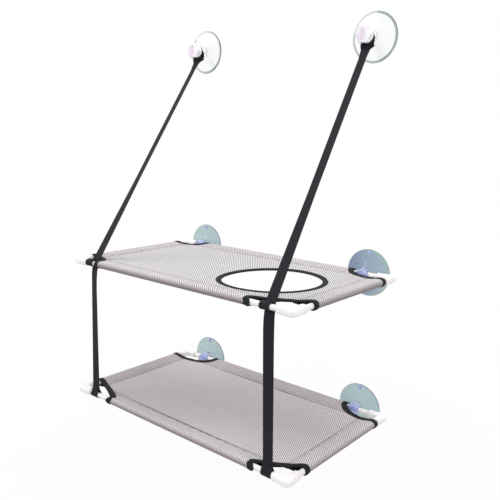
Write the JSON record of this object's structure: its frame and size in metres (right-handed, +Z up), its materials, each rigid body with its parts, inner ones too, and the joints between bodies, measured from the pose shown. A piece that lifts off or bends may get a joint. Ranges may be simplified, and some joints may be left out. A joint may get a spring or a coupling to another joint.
{
  "type": "cat window hammock",
  "caption": "Window-mounted cat hammock with stacked mesh slings on tube frames, a round way up through the upper one, suction cups and webbing straps",
  "frame": {"origin": "On the glass plane that all six suction cups sit on, midway between the two sides of the tube frames, at the height of the upper tier's tube axes.", "axes": "+X to the viewer's right along the window when facing it from the room, +Y out of the room into the glass, square to the pane, +Z up."},
  "size_m": [0.549, 0.3295, 0.7963],
  "materials": {
    "tube": "white powder-coated steel tube",
    "elbow": "moulded white plastic, satin",
    "sling_mesh": "warm grey coated open-weave mesh cloth",
    "binding_tape": "black woven binding tape",
    "webbing": "charcoal woven webbing",
    "cup": "clear soft vinyl with a blue-green edge",
    "stud": "plated steel",
    "hand_nut": "moulded white plastic, glossy"
  },
  "bodies": {
    "window_anchors": {"upper_left_cup": "cup", "upper_right_cup": "cup", "lower_left_cup": "cup", "lower_right_cup": "cup", "top_left_cup": "cup", "top_right_cup": "cup", "top_left_stud": "stud", "top_right_stud": "stud", "left_top_loop": "webbing", "right_top_loop": "webbing", "left_slant_strap": "webbing", "right_slant_strap": "webbing"},
    "upper_tier": {"upper_back_tube": "tube", "upper_front_tube": "tube", "upper_left_tube": "tube", "upper_right_tube": "tube", "upper_front_left_elbow": "elbow", "upper_front_right_elbow": "elbow", "upper_back_right_elbow": "elbow", "upper_back_left_elbow": "elbow", "upper_front_left_binding": "binding_tape", "upper_front_right_binding": "binding_tape", "upper_back_right_binding": "binding_tape", "upper_back_left_binding": "binding_tape", "upper_hole_binding": "binding_tape", "upper_sling": "sling_mesh"},
    "lower_tier": {"lower_back_tube": "tube", "lower_front_tube": "tube", "lower_left_tube": "tube", "lower_right_tube": "tube", "lower_front_left_elbow": "elbow", "lower_front_right_elbow": "elbow", "lower_back_right_elbow": "elbow", "lower_back_left_elbow": "elbow", "lower_front_left_binding": "binding_tape", "lower_front_right_binding": "binding_tape", "lower_back_right_binding": "binding_tape", "lower_back_left_binding": "binding_tape", "lower_sling": "sling_mesh"},
    "left_hanger": {"left_tube_wrap": "webbing", "left_upright_strap": "webbing", "left_tube_loop": "webbing"},
    "right_hanger": {"right_tube_wrap": "webbing", "right_upright_strap": "webbing", "right_tube_loop": "webbing"},
    "left_collar": {"top_left_collar": "hand_nut"},
    "left_nut": {"top_left_hand_nut": "hand_nut"},
    "right_collar": {"top_right_collar": "hand_nut"},
    "right_nut": {"top_right_hand_nut": "hand_nut"}
  },
  "joints": [
    {"name": "upper_tier_fold", "type": "hinge", "parent": "window_anchors", "child": "upper_tier", "pos_m": [0, -0.019, 0], "axis": [-1, 0, 0], "range_deg": [0, 70], "deforming": ["left_slant_strap", "right_slant_strap"]},
    {"name": "lower_tier_fold", "type": "hinge", "parent": "window_anchors", "child": "lower_tier", "pos_m": [0, -0.019, -0.273], "axis": [-1, 0, 0], "range_deg": [0, 70]},
    {"name": "left_hanger_swing", "type": "hinge", "parent": "upper_tier", "child": "left_hanger", "pos_m": [-0.221, -0.321, 0], "axis": [-1, 0, 0], "range_deg": [-70, 0]},
    {"name": "right_hanger_swing", "type": "hinge", "parent": "upper_tier", "child": "right_hanger", "pos_m": [0.221, -0.321, 0], "axis": [-1, 0, 0], "range_deg": [-70, 0]},
    {"name": "left_collar_travel", "type": "slide", "parent": "window_anchors", "child": "left_collar", "axis": [0, -1, 0], "range_m": [0, 0.00601]},
    {"name": "left_nut_turn", "type": "hinge", "parent": "left_collar", "child": "left_nut", "pos_m": [-0.229, -0.0398, 0.4325], "axis": [0, -1, 0], "range_deg": [0, 720]},
    {"name": "right_collar_travel", "type": "slide", "parent": "window_anchors", "child": "right_collar", "axis": [0, -1, 0], "range_m": [0, 0.00601]},
    {"name": "right_nut_turn", "type": "hinge", "parent": "right_collar", "child": "right_nut", "pos_m": [0.194, -0.0398, 0.4325], "axis": [0, -1, 0], "range_deg": [0, 720]}
  ],
  "couplings": [
    {"joint": "lower_tier_fold", "follows": "upper_tier_fold", "ratio": 1},
    {"joint": "left_hanger_swing", "follows": "upper_tier_fold", "ratio": -1},
    {"joint": "right_hanger_swing", "follows": "upper_tier_fold", "ratio": -1},
    {"joint": "left_collar_travel", "follows": "left_nut_turn", "m_per_rad": 0.00047746},
    {"joint": "right_collar_travel", "follows": "right_nut_turn", "m_per_rad": 0.00047746}
  ]
}
